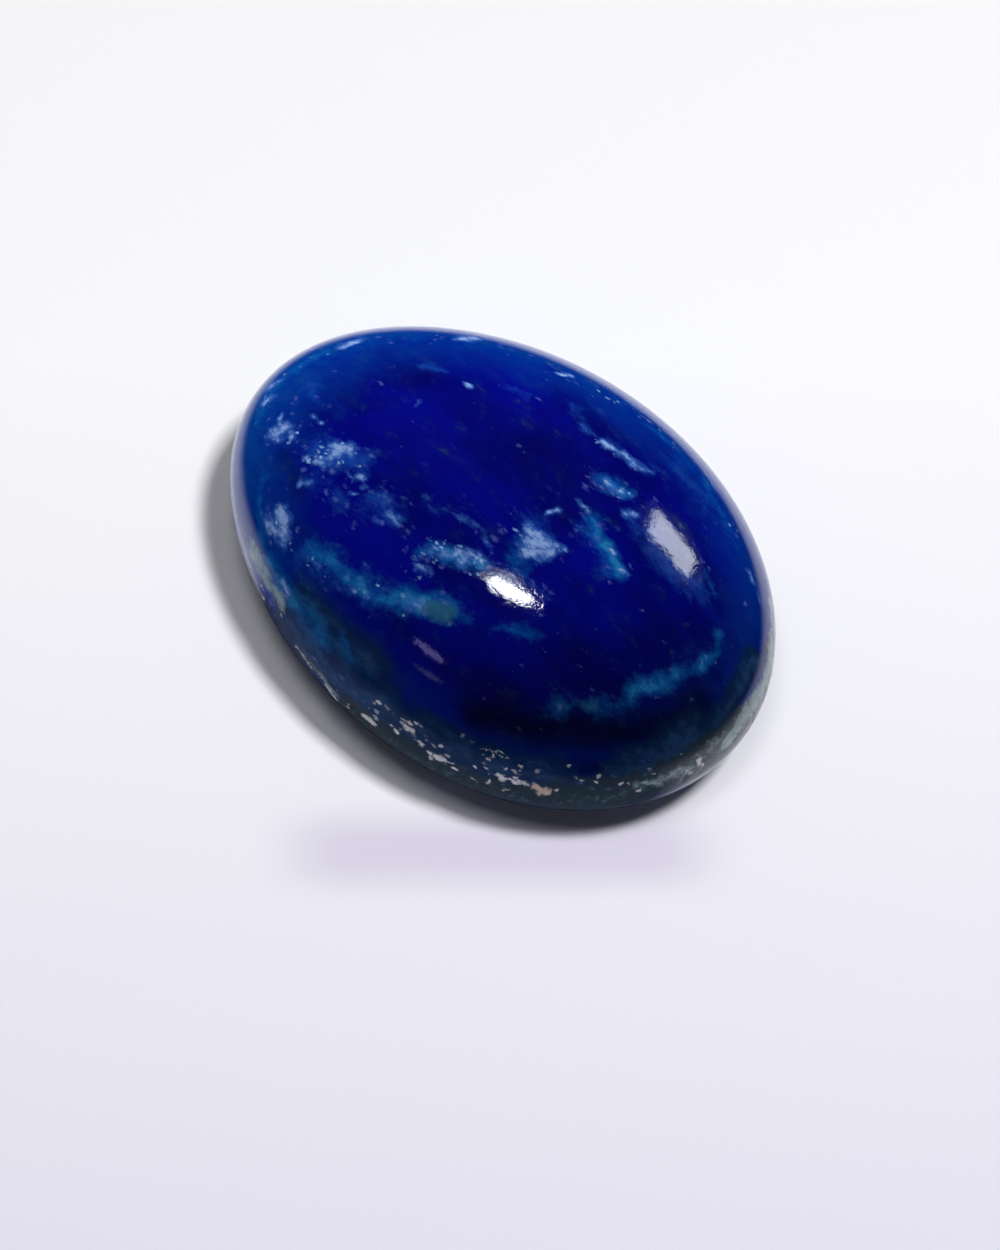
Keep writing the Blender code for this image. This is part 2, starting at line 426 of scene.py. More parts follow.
# Loose cream grit between the flecks: the last number is how dense it is
gritMarks = dict(
    chainWest=([(372, 708), (420, 738), (455, 762)], 0.75, 0.62),
    chainMiddle=([(468, 752), (500, 768), (545, 782)], 0.65, 0.52),
    chainEast=([(570, 780), (630, 782), (690, 766)], 0.60, 0.24),
    chainFarWest=([(262, 592), (282, 622), (318, 672), (345, 700)], 0.45, 0.42),
)
# Blue-white glints, with the same numbers as the grit
glintMarks = dict(
    speckleGlints=([(424, 554), (450, 553), (486, 565)], 0.55, 0.75),
    speckleBelow=([(415, 566), (436, 574)], 0.35, 0.5),
    clusterGlints=([(314, 460), (336, 452), (352, 470)], 0.60, 0.55),
    clusterBelow=([(326, 470), (350, 480), (372, 490)], 0.50, 0.25),
    starGlints=([(270, 436), (294, 438)], 0.36, 0.4),
    patchGlints=([(268, 514), (288, 538)], 0.45, 0.35),
    rimWestGlints=([(258, 420), (268, 394), (290, 370), (330, 350)], 0.36, 0.4),
    rimEastGlints=([(560, 377), (636, 412), (694, 466), (732, 530)], 0.36, 0.28),
    tealGlints=([(308, 556), (355, 588), (415, 604)], 0.45, 0.25),
    centreGlints=([(520, 530), (560, 552)], 0.60, 0.25),
    streakGlints=([(600, 444), (640, 468)], 0.30, 0.4),
    patchEastGlints=([(602, 482), (626, 492)], 0.34, 0.4),
)
# Clouds of teal
tealMarks = dict(
    westCloud=([(312, 553), (325, 557), (338, 564)], 0.60, 0.75),
    midCloud=([(345, 573), (358, 580), (368, 592)], 0.62, 0.8),
    bandWest=([(378, 600), (396, 602)], 0.50, 0.8),
    bandMiddle=([(405, 601), (430, 603)], 0.68, 1.0),
    bandEast=([(433, 604), (448, 611)], 0.55, 0.95),
    bandEnd=([(455, 616), (467, 620)], 0.32, 0.5),
    smear=([(341, 636), (350, 655)], 0.42, 0.6),
    smearTail=([(356, 662), (368, 672)], 0.34, 0.4),
    eastUpper=([(592, 520), (600, 536)], 0.50, 0.6),
    eastLower=([(607, 545), (613, 560), (619, 574)], 0.48, 0.78),
    speckleHalo=([(425, 552), (455, 556), (480, 566)], 0.55, 0.7),
    centreHalo=([(518, 545), (514, 558), (528, 566)], 0.45, 0.55),
    arcTop=([(720, 634), (717, 648)], 0.34, 0.55),
    arcUpper=([(714, 655), (697, 667)], 0.38, 0.7),
    arcMiddle=([(690, 673), (668, 682)], 0.46, 0.65),
    arcLower=([(660, 684), (634, 692)], 0.58, 0.85),
    arcTail=([(628, 700), (608, 705)], 0.38, 0.45),
    arcFaint=([(604, 705), (580, 707), (552, 708)], 0.55, 0.55),
    belowHighlight=([(494, 630), (503, 626)], 0.34, 0.5),
    belowHighlightEast=([(512, 626), (526, 631), (541, 637)], 0.34, 0.5),
    # the next three: painted reflection of the dim floor, in teal, low on the near side and the left rim
    lowEastReflection=([(636, 780), (668, 776), (692, 770)], 0.45, 0.8),
    westRimTopReflection=([(262, 480), (258, 505), (262, 540)], 0.40, 0.5),
    westRimLowReflection=([(290, 580), (300, 606), (318, 640)], 0.45, 0.4),
    rimWestTeal=([(258, 425), (268, 396), (290, 372), (325, 352)], 0.40, 0.5),
    rimEastTeal=([(640, 416), (704, 480), (736, 545)], 0.40, 0.4),
    eastPatchTeal=([(604, 482), (626, 493)], 0.45, 0.7),
    eastTip=([(706, 578), (715, 594)], 0.34, 0.5),
    # painted reflection of the dim floor, in teal, on the lower left
    westLowReflection=([(268, 560), (284, 592), (302, 610), (322, 640)], 0.90, 0.62),
)
# Thin haze of a lighter blue, mostly round the calcite
hazeMarks = dict(
    clusterHaze=([(318, 450), (340, 458), (362, 462)], 0.80, 1.0),
    trailHaze=([(366, 500), (385, 498), (392, 518)], 0.70, 0.8),
    starHaze=([(276, 430), (288, 448)], 0.70, 0.5),
    southHaze=([(310, 478), (328, 488), (345, 504)], 0.60, 0.55),
    westPatchHaze=([(270, 515), (284, 536)], 0.60, 0.7),
    eastPatchHaze=([(600, 482), (624, 493)], 0.58, 0.9),
    eastBlobHaze=([(631, 514), (637, 530)], 0.50, 0.8),
    streakHaze=([(574, 408), (590, 430), (612, 448), (650, 470)], 0.55, 0.6),
    centreHaze=([(534, 528), (545, 550)], 0.95, 0.8),
    highlightHaze=([(480, 560), (520, 572), (550, 595)], 0.6, 0.5),
    topHaze=([(424, 366), (444, 372)], 0.38, 0.75),
    topEastHaze=([(508, 388), (525, 396)], 0.42, 0.75),
    topMidHaze=([(476, 400), (492, 414)], 0.34, 0.45),
    smallHaze=([(594, 408), (602, 412)], 0.34, 0.5),
    westHaze=([(310, 386), (313, 400)], 0.50, 0.7),
    farEastHaze=([(676, 462), (706, 498), (730, 530)], 0.9, 0.6),
    tealWestHaze=([(306, 556), (345, 575), (375, 598)], 1.0, 0.8),
    bandHaze=([(395, 600), (455, 606)], 0.95, 0.7),
    eastTealHaze=([(585, 530), (600, 545), (612, 570)], 0.75, 0.7),
    windowHaze=([(652, 530), (668, 568), (700, 590)], 0.85, 0.8),
    arcHaze=([(716, 648), (690, 671), (640, 692)], 0.60, 0.5),
    veinHaze=([(424, 496), (460, 516), (490, 545)], 0.50, 0.38),
)
# Lilac specks, with the same numbers
speckMarks = dict(
    clusterSpecks=([(318, 444), (340, 456), (362, 466)], 0.80, 0.6),
    trailSpecks=([(350, 490), (385, 500), (396, 522)], 0.75, 0.6),
    northWestSpecks=([(268, 385), (300, 400), (318, 420)], 0.60, 0.25),
    southWestSpecks=([(300, 478), (330, 500), (350, 514)], 0.60, 0.45),
    westPatchSpecks=([(268, 515), (286, 535)], 0.60, 0.8),
    starSpecks=([(272, 430), (292, 434)], 0.55, 0.6),
    speckleSpecks=([(422, 560), (450, 556), (484, 560)], 0.65, 1.0),
    tealSpecks=([(312, 560), (355, 582), (400, 600), (440, 606)], 0.70, 0.45),
    centreSpecks=([(500, 530), (545, 550), (560, 560)], 0.90, 0.5),
    highlightSpecks=([(478, 568), (545, 600)], 0.60, 0.6),
    eastSpecks=([(598, 480), (640, 520)], 0.70, 0.55),
    eastTealSpecks=([(590, 525), (620, 575)], 0.60, 0.5),
    windowSpecks=([(655, 510), (705, 580)], 0.70, 0.5),
    arcSpecks=([(715, 650), (690, 671), (635, 694), (560, 706)], 0.40, 0.35),
    lowWestSpecks=([(300, 640), (340, 685), (372, 712)], 0.60, 0.2),
    lowSpecks=([(385, 720), (430, 752), (480, 774), (540, 788)], 0.90, 0.1),
    lowEastSpecks=([(570, 782), (630, 782), (690, 766)], 0.75, 0.15),
    eastRimSpecks=([(700, 760), (740, 725), (765, 680)], 0.60, 0.25),
    topRimSpecks=([(350, 345), (470, 338), (560, 370)], 0.40, 0.4),
    eastTopSpecks=([(560, 373), (640, 410), (715, 485)], 0.45, 0.5),
)
# A duller green-blue in the teal
mossMarks = dict(
    bandMoss=([(433, 608), (448, 613)], 0.50, 1.0),
    arcMoss=([(596, 706), (560, 707)], 0.35, 0.6),
)
# Pale grey-green along the edge: painted reflection of the pale floor, and a pale rim on the west patch
paleAndReflectionMarks = dict(
    paleEast=([(728, 742), (748, 713), (762, 690), (770, 662), (772, 645)], 0.55, 1.0),
    paleEastEnd=([(773, 632), (771, 604)], 0.40, 0.7),
    paleEastInner=([(700, 752), (722, 738)], 0.40, 0.5),
    westPatchPale=([(271, 528), (281, 535)], 0.36, 0.6),
    paleWest=([(252, 550), (264, 574), (281, 602)], 0.60, 0.8),
    paleWestLow=([(300, 650), (316, 668), (334, 692)], 0.30, 0.6),
    paleLow=([(640, 784), (668, 776), (690, 770)], 0.45, 0.6),
)
# The one tan patch
rustMarks = dict(
    tanPatch=([(533, 788), (541, 793), (547, 790)], 0.34, 1.0),
)
# The darkest blue: dark mottles, and painted shade low on the near side
deepAndShadeMarks = dict(
    # painted shade along the low near side
    paintedShadeLow=([(480, 715), (540, 728), (600, 734), (660, 728), (700, 708)], 1.1, 1.0),
    paintedShadeBand=([(400, 720), (465, 752), (540, 772), (620, 770), (680, 748)], 1.1, 0.9),
    deepWest=([(282, 452), (296, 470), (300, 490)], 0.8, 0.55),
    deepMiddle=([(410, 460), (420, 490), (400, 520)], 1.0, 0.4),
    deepEast=([(575, 655), (640, 650), (665, 640)], 1.4, 0.45),
)
# Slate blue low on the stone: painted shade and painted reflection of the dim floor
slateAndShadeMarks = dict(
    slateWest=([(292, 625), (318, 665), (345, 688), (380, 705)], 1.3, 0.9),
    slateMiddle=([(400, 722), (470, 760), (550, 778)], 1.1, 0.7),
    slateEast=([(632, 776), (660, 762), (690, 740)], 1.1, 1.0),
    slateLow=([(360, 708), (420, 750), (480, 780), (560, 796), (640, 786), (700, 760)], 0.9, 1.0),
    slateInner=([(302, 606), (332, 638), (368, 664)], 1.1, 0.85),
    slateFarEast=([(715, 722), (738, 690), (752, 660)], 0.55, 0.9),
)
# The dull grey-green band at the foot of the dome: painted reflection of the dim floor, with a rougher
# finish
dustAndReflectionMarks = dict(
    dustWest=([(352, 712), (395, 742), (430, 764)], 0.8, 0.9),
    dustLow=([(430, 764), (475, 784), (520, 796)], 0.9, 1.0),
    dustMiddle=([(560, 800), (600, 800), (640, 788)], 1.1, 1.0),
    dustEast=([(660, 780), (698, 760), (738, 726)], 1.0, 1.0),
    dustFarEast=([(750, 715), (764, 690), (771, 655)], 0.6, 1.0),
)


# The markings' outlines: every point of the stone's surface is bent aside by a little noise.
# In mm, how wide the bends are and how far they move an outline
bends = (
    dict(width=0.8, reach=0.16),
    dict(width=0.25, reach=0.08),
)
bendSeed = 6  # without a seed, Blender sets this noise by the clock

# Markings on the sides that the photograph doesn't show: sizes in mm, each from one to the other
unseenMarks = dict(
    calcite=dict(count=80, seed=3, longest=1.0, reach=(0.16, 0.34), strength=(0.5, 1.0)),
    teal=dict(count=14, seed=2, longest=3.0, reach=(0.35, 0.65), strength=(0.5, 1.0)),
    haze=dict(count=34, seed=1, longest=3.0, reach=(0.5, 1.1), strength=(0.5, 1.0)),
    specks=dict(count=30, seed=4, longest=2.4, reach=(0.5, 0.9), strength=(0.4, 1.0)),
)
unseenTurn = 0.6  # radians that such a marking may turn away from the stone's length
unseenShortest = 0.1  # share of the longest
seenEdge = -0.05  # cosine of the surface's turn to the camera, below which it is unseen


def bendPlaces():
    noise.seed_set(bendSeed)
    places = KDTree(len(polishedStone.data.vertices))
    for vertex in polishedStone.data.vertices:
        place = vertex.co / mm
        for bend in bends:
            place = place + noise.noise_vector(vertex.co / mm / bend["width"]) * bend["reach"]
        places.insert(place, vertex.index)
    places.balance()
    return places


bentPlaces = bendPlaces()


def photoStreaks(marks):
    # each leg of a marking's path, from point to point on the stone in mm
    for path, reach, strength in marks.values():
        points = [onStone(pixel)[0] / mm for pixel in path]
        for start, end in zip(points, points[1:] or points):
            yield start, end, reach, strength


def unseenStreaks(count, seed, longest, reach, strength):
    # short streaks on the unseen sides, along the stone as the seen ones are
    chance = random.Random(seed)
    toEye = photoCamera.location
    vertices = polishedStone.data.vertices
    made = 0
    while made < count:
        vertex = vertices[chance.randrange(len(vertices))]
        if vertex.normal.dot((toEye - vertex.co).normalized()) > seenEdge:
            continue
        turn = chance.uniform(-unseenTurn, unseenTurn)
        length = longest * chance.uniform(unseenShortest, 1)
        half = Vector((math.cos(turn), math.sin(turn), 0)) * length / 2
        half -= vertex.normal * half.dot(vertex.normal)
        middle = vertex.co / mm
        yield middle - half, middle + half, chance.uniform(*reach), chance.uniform(*strength)
        made += 1


def markStone(name, marks):
    # an attribute of the stone: a streak's strength along its middle, and less out to its reach
    streaks = list(photoStreaks(marks))
    if name in unseenMarks:
        streaks += unseenStreaks(**unseenMarks[name])
    shades = [0.0] * len(polishedStone.data.vertices)
    for start, end, reach, strength in streaks:
        run = end - start
        for place, index, gap in bentPlaces.find_range((start + end) / 2, run.length / 2 + reach):
            part = (place - start).dot(run) / max(run.length_squared, 1e-9)
            foot = start + run * min(max(part, 0), 1)
            shade = strength * (1 - (place - foot).length / reach)
            shades[index] = max(shades[index], shade)
    attribute = polishedStone.data.attributes.new(name, "FLOAT", "POINT")
    attribute.data.foreach_set("value", shades)


markings = dict(calcite=calciteMarks, grains=grainMarks, grit=gritMarks, glints=glintMarks,
                teal=tealMarks, haze=hazeMarks, specks=speckMarks, moss=mossMarks, pale=paleAndReflectionMarks,
                rust=rustMarks, deep=deepAndShadeMarks, slateAndShade=slateAndShadeMarks, dustAndReflection=dustAndReflectionMarks)
for name, marks in markings.items():
    markStone(name, marks)
print("markings laid")

# Polished lapis: lazurite is opaque and deep blue, calcite runs through it in ragged pale grains
# along the stone, and the polish gives the eye small, sharp, bright reflections of the windows
lapisLook = dict(
    ultramarine="#030568",
    brightStarts=0.36,  # of the patch noise, from 0 to 1, and where the brighter blue is full
    brightFull=0.68,
    brightBlue="#030996",
    # darkest blue: dark mottles, and painted shade low on the near side
    deep="#020a26",
    # painted rim light and painted reflection at the edge, in azure
    azure="#01319c",
    edgeReflectionAzure="#0c4faa",
    haze="#1c54c0",
    shallowTeal="#0a6ec6",
    teal="#3aa6dc",
    moss="#2f6c8e",
    # the next two: painted shade and painted reflection of the dim floor, low on the stone
    slateAndShade="#12325c",
    paleSlateAndReflection="#335c93",
    # the next two: painted reflection of the dim floor in the low band, with dust
    dustAndReflection="#213c4c",
    paleDustAndReflection="#4c6e82",
    # painted reflection of the pale floor along the edge
    pale="#a6c2c8",
    thinCalcite="#3f74d4",
    calcite="#9cbffa",
    grains="#eef0f4",
    rust="#ead2ba",
    specks="#7890ea",
    glints="#9cd0ff",
    gloss=0.04,  # roughness of the polish
    dullGrain=0.2,  # how much rougher the calcite and the girdle's dust are
    polishWidth=0.28,  # mm, of the faint ripple that polishing leaves
    polishDepth=0.0045,  # mm
    polishOctaves=4,
    polishFine=0.6,
    lightBending=1.54,  # refractive index of lapis
)
# Noises that break the markings' edges: width in mm, how far they are drawn out along the stone
# (1 is not at all, 0.5 is twice as long), octaves and how strong the fine ones are
lapisNoises = dict(
    patch=dict(width=3.0, along=0.55, octaves=4, fine=0.6),
    cloud=dict(width=0.9, along=0.55, octaves=5, fine=0.7),
    smear=dict(width=0.45, along=0.55, octaves=5, fine=0.75),
    grain=dict(width=0.22, along=0.55, octaves=4, fine=0.75),
    fleck=dict(width=0.17, along=1.0, octaves=3, fine=0.7),
)
# Single grains, one to a cell of a cell pattern
grainLooks = dict(
    grit=dict(
        tint="grains",
        spacing=0.21,  # mm, the width of a cell
        along=0.8,  # drawn out along the stone, as the noises are
        jitter=0.25,  # mm that the small noise pulls the outlines about
        fewest=0.0,  # share of the cells that have a grain where none is marked
        core=0.25,  # how far from its middle a grain is solid, and where it ends, in cells
        edge=0.5,
        most=1.5,  # how much the boldest grain covers: past 1, more of them cover fully
    ),
    glints=dict(tint="glints", spacing=0.14, along=0.7, jitter=0.3, fewest=0.0, core=0.1, edge=0.5,
                most=1.2),
    specks=dict(tint="specks", spacing=0.17, along=0.6, jitter=0.3, fewest=0.01, core=0.05, edge=0.6,
                most=0.42),
)
# Painted rim light: the rim turns azure for the light from behind and the edge's reflection, further in on
# the lit side
paintedRimLightLook = dict(
    side=math.radians(228),
    lean=0.16,
)
# The back is slate, with painted shade and painted reflection of the dim floor: heights over the resting
# face in mm where that starts and where it is full, and how much higher it comes up on the near side
backShadeLook = dict(
    starts=3.1,
    full=2.3,
    side=math.radians(45),
    lifts=0.6,
)
# Over the blue, one layer after the other: the attribute that it follows, its tint, the noise that
# breaks its edge and how much, where it starts and is full, and how much it covers at most
lapisLayers = (
    # painted rim light and painted edge reflection
    dict(follows="paintedRimLight", tint="azure", breaks="cloud", by=0.35, starts=0.62, full=0.94, most=1.0),
    dict(follows="paintedRimLight", tint="edgeReflectionAzure", breaks="smear", by=0.4, starts=0.84, full=1.08, most=0.85),
    # darkest blue, partly painted shade low on the near side
    dict(follows="deep", tint="deep", breaks="cloud", by=0.5, starts=0.1, full=1.0, most=0.8),
    # painted shade and painted floor reflection, low on the stone
    dict(follows="slateAndShade", tint="slateAndShade", breaks="cloud", by=0.7, starts=0.0, full=0.5, most=0.9),
    dict(follows="slateAndShade", tint="paleSlateAndReflection", breaks="smear", by=1.8, starts=0.3, full=1.1, most=0.8),
    dict(follows="haze", tint="haze", breaks="smear", by=1.6, starts=0.25, full=1.15, most=0.8),
    dict(follows="teal", tint="shallowTeal", breaks="smear", by=1.2, starts=0.15, full=0.8, most=0.8),
    dict(follows="teal", tint="teal", breaks="smear", by=1.6, starts=0.5, full=1.1, most=0.9),
    dict(follows="moss", tint="moss", breaks="smear", by=1.0, starts=0.2, full=0.7, most=0.85),
    # the back: painted shade and floor reflection, higher on the near side
    dict(follows="back", tint="slateAndShade", breaks="smear", by=0.7, starts=0.1, full=0.6, most=0.95),
    # painted reflection of the dim floor in the low band, with dust
    dict(follows="dustAndReflection", tint="dustAndReflection", breaks="smear", by=1.2, starts=0.05, full=0.5, most=0.95),
    dict(follows="dustAndReflection", tint="paleDustAndReflection", breaks="fleck", by=2.2, starts=0.8, full=1.4, most=0.8),
    # mostly painted reflection of the pale floor along the edge
    dict(follows="pale", tint="pale", breaks="grain", by=1.4, starts=0.2, full=0.8, most=0.9),
    dict(follows="calcite", tint="thinCalcite", breaks="grain", by=1.2, starts=0.15, full=0.7, most=0.7),
    dict(follows="calcite", tint="calcite", breaks="grain", by=1.6, starts=0.5, full=0.95, most=0.95),
    dict(follows="grains", tint="grains", breaks="fleck", by=1.6, starts=0.5, full=0.85, most=0.95),
    dict(follows="rust", tint="rust", breaks="fleck", by=1.2, starts=0.4, full=0.8, most=0.9),
)


def paintLapis():
    look = lapisLook
    tree = lapis.node_tree
    shader = tree.nodes["Principled BSDF"]
    coordinates = addNode(tree, "ShaderNodeTexCoord").outputs["Object"]
    place = addNode(tree, "ShaderNodeVectorMath", coordinates, 1 / mm, operation="SCALE")
    noises = {}
    for name, kind in lapisNoises.items():
        along = addNode(tree, "ShaderNodeVectorMath", place, (kind["along"], 1, 1), operation="MULTIPLY")
        noises[name] = addNode(tree, "ShaderNodeTexNoise", along, 1 / kind["width"], kind["octaves"],
                               kind["fine"])

    # how far out on the oval, and further on the lit side: the painted rim light
    inOval = addNode(tree, "ShaderNodeVectorMath", coordinates, (2 / cadSize.x, 2 / cadSize.y, 0),
                     operation="MULTIPLY")
    share = addNode(tree, "ShaderNodeVectorMath", inOval, operation="LENGTH")
    out = addNode(tree, "ShaderNodeVectorMath", coordinates, (1, 1, 0), operation="MULTIPLY")
    out = addNode(tree, "ShaderNodeVectorMath", out, operation="NORMALIZE")
    lean = addNode(tree, "ShaderNodeVectorMath", out, direction(paintedRimLightLook["side"], 0),
                   operation="DOT_PRODUCT")
    paintedRimLight = addNode(tree, "ShaderNodeMath", lean, paintedRimLightLook["lean"], share, operation="MULTIPLY_ADD")

    # deep blue with brighter patches, and the layers over it
    bright = addNode(tree, "ShaderNodeMapRange", noises["patch"], look["brightStarts"], look["brightFull"],
                     0, 1, interpolation_type="SMOOTHSTEP")
    colour = addNode(tree, "ShaderNodeMix", bright, toLinear(look["ultramarine"]),
                     toLinear(look["brightBlue"]), data_type="RGBA")
    # the back's height, lifted on the near side: painted shade and floor reflection
    height = addNode(tree, "ShaderNodeSeparateXYZ", place).outputs["Z"]
    lift = addNode(tree, "ShaderNodeVectorMath", out, direction(backShadeLook["side"], 0),
                   operation="DOT_PRODUCT")
    height = addNode(tree, "ShaderNodeMath", lift, -backShadeLook["lifts"], height, operation="MULTIPLY_ADD")
    back = addNode(tree, "ShaderNodeMapRange", height, backShadeLook["starts"], backShadeLook["full"], 0, 1)
    covers = {}
    for layer in lapisLayers:
        if layer["follows"] == "paintedRimLight":
            shade = paintedRimLight
        elif layer["follows"] == "back":
            shade = back
        else:
            shade = addNode(tree, "ShaderNodeAttribute", attribute_name=layer["follows"]).outputs["Fac"]
        offset = addNode(tree, "ShaderNodeMath", noises[layer["breaks"]], 0.5, operation="SUBTRACT")
        shade = addNode(tree, "ShaderNodeMath", offset, layer["by"], shade, operation="MULTIPLY_ADD")
        cover = addNode(tree, "ShaderNodeMapRange", shade, layer["starts"], layer["full"], 0, layer["most"],
                        interpolation_type="SMOOTHSTEP")
        tint = toLinear(look[layer["tint"]])
        colour = addNode(tree, "ShaderNodeMix", cover, colour, tint, data_type="RGBA")
        covers[layer["tint"]] = cover

    # a cell has a grain where its chance falls under the marked density, each with its own brightness
    for name, kind in grainLooks.items():
        pull = addNode(tree, "ShaderNodeVectorMath", noises["grain"].outputs["Color"], kind["jitter"],
                       operation="SCALE")
        along = addNode(tree, "ShaderNodeVectorMath", place, (kind["along"], 1, 1), operation="MULTIPLY")
        pulled = addNode(tree, "ShaderNodeVectorMath", along, pull, operation="ADD")
        cells = addNode(tree, "ShaderNodeTexVoronoi", pulled, 1 / kind["spacing"]).outputs
        chances = addNode(tree, "ShaderNodeSeparateColor", cells["Color"]).outputs
        density = addNode(tree, "ShaderNodeAttribute", attribute_name=name).outputs["Fac"]
        density = addNode(tree, "ShaderNodeMath", density, kind["fewest"], operation="ADD")
        has = addNode(tree, "ShaderNodeMath", chances["Red"], density, operation="LESS_THAN")
        near = addNode(tree, "ShaderNodeMapRange", cells["Distance"], kind["core"], kind["edge"], 1, 0,
                       interpolation_type="SMOOTHSTEP")
        grain = addNode(tree, "ShaderNodeMath", near, has, operation="MULTIPLY")
        grain = addNode(tree, "ShaderNodeMath", grain, chances["Green"], operation="MULTIPLY")
        grain = addNode(tree, "ShaderNodeMath", grain, kind["most"], operation="MULTIPLY", use_clamp=True)
        tint = toLinear(look[kind["tint"]])
        colour = addNode(tree, "ShaderNodeMix", grain, colour, tint, data_type="RGBA")
    tree.links.new(colour.outputs[2], shader.inputs["Base Color"])

    dull = addNode(tree, "ShaderNodeMath", covers["calcite"], covers["dustAndReflection"], operation="MAXIMUM")
    rough = addNode(tree, "ShaderNodeMath", dull, look["dullGrain"], look["gloss"], operation="MULTIPLY_ADD")
    tree.links.new(rough.outputs[0], shader.inputs["Roughness"])
    ripple = addNode(tree, "ShaderNodeTexNoise", place, 1 / look["polishWidth"], look["polishOctaves"],
                     look["polishFine"])
    bump = addNode(tree, "ShaderNodeBump")
    bump.inputs["Distance"].default_value = look["polishDepth"] * mm
    tree.links.new(ripple.outputs[0], bump.inputs["Height"])
    tree.links.new(bump.outputs[0], shader.inputs["Normal"])
    shader.inputs["IOR"].default_value = look["lightBending"]


paintLapis()
print("lapis painted")


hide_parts("lapis_cabochon")
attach(polishedStone, "root")


# Floor: a sheet of matte paper, which fades from near white to pale lilac towards the eye
paper = dict(
    size=2.0,
    farColour="#f8f8fa",
    nearColour="#dbd8e8",
    fadesFrom=-24 * mm,  # towards the eye
    fadesTo=9 * mm,  # away from it
    mirroredFrom=13 * mm,  # the stone mirrors only the paper near it, and a dark room past that
    mirroredTo=21 * mm,
    shadeWay=math.radians(17),  # and little of the paper on this side
    shadeStarts=0.31,  # cosine of the angle to that side
    shadeFull=0.545,
    shadeDepth=0.9,
    paintedShadowColour="#e9e5ef",  # painted shadow: a faint soft darker patch under the stone
    paintedShadowAt=7.95 * mm,  # towards the eye
    paintedShadowReach=(7.2 * mm, 4.2 * mm),  # to each side: where it starts and where it is full
    paintedShadowDepth=(1.9 * mm, 0.2 * mm),  # to and fro
    roughness=0.9,
)


def addFloor():
    half = paper["size"] / 2
    corners = [(-half, -half, 0), (half, -half, 0), (half, half, 0), (-half, half, 0)]
    data = bpy.data.meshes.new("floor")
    data.from_pydata(corners, [], [(0, 1, 2, 3)])
    floor = addObject("floor", data)
    material = bpy.data.materials.new("mattePaper")
    material.use_nodes = True
    tree = material.node_tree
    shader = tree.nodes["Principled BSDF"]
    coordinates = addNode(tree, "ShaderNodeTexCoord").outputs["Object"]
    away = -direction(camera["azimuth"], 0)
    far = addNode(tree, "ShaderNodeVectorMath", coordinates, away, operation="DOT_PRODUCT")
    fade = addNode(tree, "ShaderNodeMapRange", far, paper["fadesFrom"], paper["fadesTo"], 0, 1)
    colour = addNode(tree, "ShaderNodeMix", fade, toLinear(paper["nearColour"]),
                     toLinear(paper["farColour"]), data_type="RGBA")
    # painted shadow: a faint darker patch on the paper under the stone
    right = direction(camera["azimuth"] + math.pi / 2, 0)
    sideways = addNode(tree, "ShaderNodeVectorMath", coordinates, right, operation="DOT_PRODUCT")
    sideways = addNode(tree, "ShaderNodeMath", sideways, operation="ABSOLUTE")
    toFro = addNode(tree, "ShaderNodeMath", far, paper["paintedShadowAt"], operation="ADD")
    toFro = addNode(tree, "ShaderNodeMath", toFro, operation="ABSOLUTE")
    wide = addNode(tree, "ShaderNodeMapRange", sideways, *paper["paintedShadowReach"], 0, 1,
                   interpolation_type="SMOOTHSTEP")
    deep = addNode(tree, "ShaderNodeMapRange", toFro, *paper["paintedShadowDepth"], 0, 1,
                   interpolation_type="SMOOTHSTEP")
    patch = addNode(tree, "ShaderNodeMath", wide, deep, operation="MULTIPLY")
    colour = addNode(tree, "ShaderNodeMix", patch, colour, toLinear(paper["paintedShadowColour"]), data_type="RGBA",
                     blend_type="MULTIPLY")
    out = addNode(tree, "ShaderNodeVectorMath", coordinates, operation="LENGTH")
    dark = addNode(tree, "ShaderNodeMapRange", out, paper["mirroredFrom"], paper["mirroredTo"], 0, 1,
                   interpolation_type="SMOOTHSTEP")
    outward = addNode(tree, "ShaderNodeVectorMath", coordinates, operation="NORMALIZE")
    toShade = addNode(tree, "ShaderNodeVectorMath", outward, direction(paper["shadeWay"], 0),
                      operation="DOT_PRODUCT")
    shade = addNode(tree, "ShaderNodeMapRange", toShade, paper["shadeStarts"], paper["shadeFull"], 0,
                    paper["shadeDepth"], interpolation_type="SMOOTHSTEP")
    dark = addNode(tree, "ShaderNodeMath", dark, shade, operation="MAXIMUM")
    mirrored = addNode(tree, "ShaderNodeLightPath").outputs["Is Glossy Ray"]
    dark = addNode(tree, "ShaderNodeMath", dark, mirrored, operation="MULTIPLY")
    colour = addNode(tree, "ShaderNodeMix", dark, colour, (0, 0, 0, 1), data_type="RGBA")
    tree.links.new(colour.outputs[2], shader.inputs["Base Color"])
    shader.inputs["Roughness"].default_value = paper["roughness"]
    shader.inputs["Specular IOR Level"].default_value = 0.0
    data.materials.append(material)
    return floor


floor = addFloor()

# Room: pale to the eye, with a little light from all round, and dark in the stone's gloss
room = dict(
    pale="#f2f4f4",
    fill=0.07,
    mirrored=0.01,
)


def addRoom():
    world = bpy.data.worlds.new("paleRoom")
    bpy.context.scene.world = world
    world.use_nodes = True
    tree = world.node_tree
    background = tree.nodes["Background"]
    background.inputs["Color"].default_value = toLinear(room["pale"])
    path = addNode(tree, "ShaderNodeLightPath").outputs
    seen = addNode(tree, "ShaderNodeMix", path["Is Camera Ray"], room["fill"], 1.0)
    strength = addNode(tree, "ShaderNodeMix", path["Is Glossy Ray"], seen, room["mirrored"])
    tree.links.new(strength.outputs[0], background.inputs["Strength"])


addRoom()

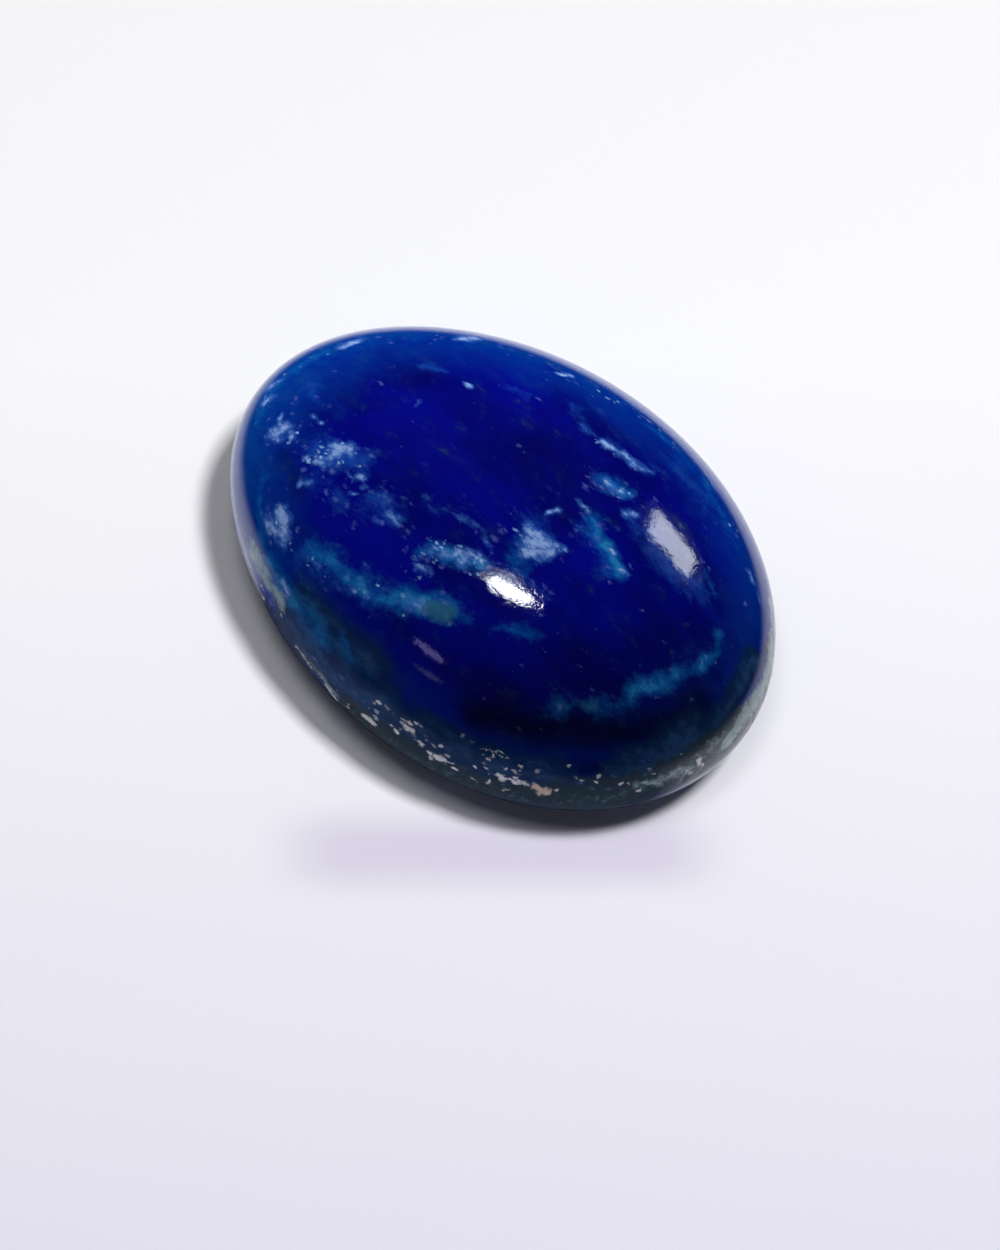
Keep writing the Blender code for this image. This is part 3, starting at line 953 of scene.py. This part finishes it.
# Windows: they show in the gloss alone. Each stands where its reflection falls on the dome, by
# pixels of the photograph, and its sides are read from the reflection's ends. A glow of 1 is as
# bright as lit white paper.
windows = dict(
    overhead=dict(middle=(512, 592), along=((486, 581), (535, 604)), across=((515, 586), (509, 597)),
                  glow=30.0, tint="#f4f7ff", shape="ELLIPSE"),
    overheadFringe=dict(middle=(503, 575), along=((486, 570), (521, 582)), across=((504, 573), (503, 577)),
                        glow=5.0, tint="#dfe8ff", shape="ELLIPSE"),
    behind=dict(middle=(674, 545), along=((656, 520), (696, 570)), across=((683, 540), (665, 550)),
                glow=9.5, tint="#e2e9f2", shape="RECTANGLE"),
    behindHalo=dict(middle=(676, 548), along=((645, 505), (706, 584)), across=((694, 536), (658, 558)),
                    glow=0.2, tint="#c8d4f8", shape="ELLIPSE"),
    beside=dict(middle=(429, 652), along=((415, 642), (443, 664)), across=((432, 649), (427, 656)),
                glow=2.0, tint="#bcb2f6", shape="ELLIPSE"),
    besideFaint=dict(middle=(429, 674), along=((415, 665), (442, 682)), across=((430, 672), (427, 676)),
                     glow=0.6, tint="#c9c9f2", shape="ELLIPSE"),
)
windowDistance = 350 * mm


def mirrorWay(pixel):
    # the direction that the eye sees mirrored in the stone at a pixel
    eye, sight = photoRay(pixel)
    point, normal = onStone(pixel)
    return sight.reflect(normal).normalized()


def addWindow(name, window):
    way = mirrorWay(window["middle"])
    sides = [[mirrorWay(pixel) for pixel in window[side]] for side in ("along", "across")]
    data = bpy.data.lights.new(name, "AREA")
    data.shape = window["shape"]
    data.size, data.size_y = [(end - start).length * windowDistance for start, end in sides]
    data.energy = window["glow"] * math.pi * data.size * data.size_y
    data.color = toLinear(window["tint"])[:3]
    xAxis = sides[0][1] - sides[0][0]
    xAxis = (xAxis - way * xAxis.dot(way)).normalized()
    light = addObject(name, data)
    light.location = onStone(window["middle"])[0] + way * windowDistance
    light.rotation_mode = "QUATERNION"
    light.rotation_quaternion = Matrix((xAxis, way.cross(xAxis), way)).transposed().to_quaternion()
    light.visible_diffuse = False


for name, window in windows.items():
    addWindow(name, window)

# Soft boxes: they light, but don't show in the gloss. Two light the paper, and one the stone.
softBoxes = dict(
    paperBox=dict(azimuth=99, elevation=70.5, size=56 * mm, distance=400 * mm, glow=130.0, lights=floor),
    paperTopBox=dict(azimuth=30, elevation=77, size=100 * mm, distance=400 * mm, glow=11.0, lights=floor),
    stoneBox=dict(azimuth=228, elevation=40, size=260 * mm, distance=400 * mm, glow=8.0,
                  lights=polishedStone),
)


def addSoftBox(name, box):
    data = bpy.data.lights.new(name, "AREA")
    data.size = box["size"]
    data.energy = box["glow"] * math.pi * box["size"] ** 2
    way = direction(math.radians(box["azimuth"]), math.radians(box["elevation"]))
    light = addObject(name, data)
    light.location = way * box["distance"]
    light.rotation_mode = "QUATERNION"
    light.rotation_quaternion = way.to_track_quat("Z", "Y")
    light.visible_glossy = False
    lit = bpy.data.collections.new("litBy" + name)
    lit.objects.link(box["lights"])
    light.light_linking.receiver_collection = lit


for name, box in softBoxes.items():
    addSoftBox(name, box)
print("lights placed")

bpy.context.scene.view_settings.view_transform = "Standard"
